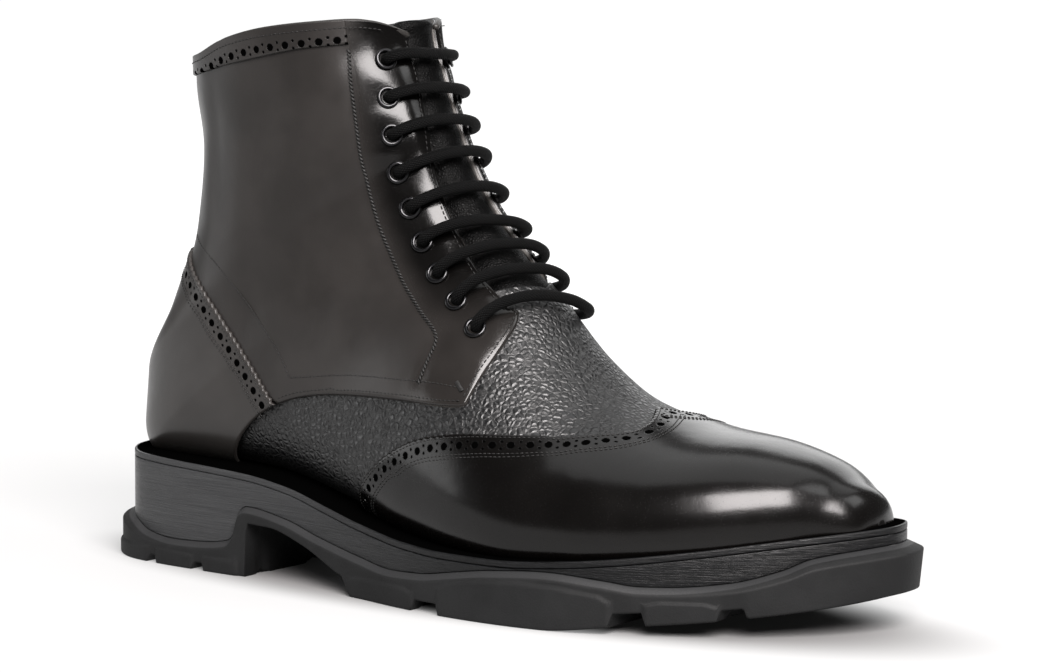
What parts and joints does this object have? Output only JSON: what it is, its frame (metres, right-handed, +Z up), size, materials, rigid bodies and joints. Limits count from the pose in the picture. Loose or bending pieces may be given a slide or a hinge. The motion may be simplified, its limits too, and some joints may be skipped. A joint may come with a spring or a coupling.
{
  "type": "lace-up ankle boot",
  "caption": "Black leather lace-up ankle boot for the right foot, with a pierced wing tip, open collar and throat, stacked midsole and lugged rubber outsole.",
  "frame": {"origin": "centre of the bottom of the boot's box, on the floor it stands on", "axes": "+X to the toe, +Y to the inner side of the foot, +Z up"},
  "size_m": [0.311, 0.1121, 0.192],
  "materials": {
    "rubber": "matt black moulded rubber",
    "stacked_leather": "black burnished stacked leather with a low sheen",
    "lining": "matt black lining leather",
    "pebbled_leather": "black pebbled leather, semi-gloss",
    "smooth_leather": "black polished smooth leather",
    "eyelet_metal": "black lacquered metal with a soft gloss",
    "lace": "black round woven cord, matt"
  },
  "bodies": {
    "root": {"outsole": "rubber", "midsole": "stacked_leather", "welt": "stacked_leather", "insole": "lining", "upper": "pebbled_leather", "tongue": "pebbled_leather", "quarter_outer": "smooth_leather", "quarter_inner": "smooth_leather", "wing_tip": "smooth_leather", "heel_counter": "smooth_leather", "collar_band": "smooth_leather", "eyelet_outer_1": "eyelet_metal", "eyelet_outer_2": "eyelet_metal", "eyelet_outer_3": "eyelet_metal", "eyelet_outer_4": "eyelet_metal", "eyelet_outer_5": "eyelet_metal", "eyelet_outer_6": "eyelet_metal", "eyelet_outer_7": "eyelet_metal", "eyelet_outer_8": "eyelet_metal", "eyelet_outer_9": "eyelet_metal", "eyelet_inner_1": "eyelet_metal", "eyelet_inner_2": "eyelet_metal", "eyelet_inner_3": "eyelet_metal", "eyelet_inner_4": "eyelet_metal", "eyelet_inner_5": "eyelet_metal", "eyelet_inner_6": "eyelet_metal", "eyelet_inner_7": "eyelet_metal", "eyelet_inner_8": "eyelet_metal", "eyelet_inner_9": "eyelet_metal", "lace_bar_1": "lace", "lace_bar_2": "lace", "lace_bar_3": "lace", "lace_bar_4": "lace", "lace_bar_5": "lace", "lace_bar_6": "lace", "lace_bar_7": "lace", "lace_bar_8": "lace", "lace_bar_9": "lace"}
  },
  "joints": []
}
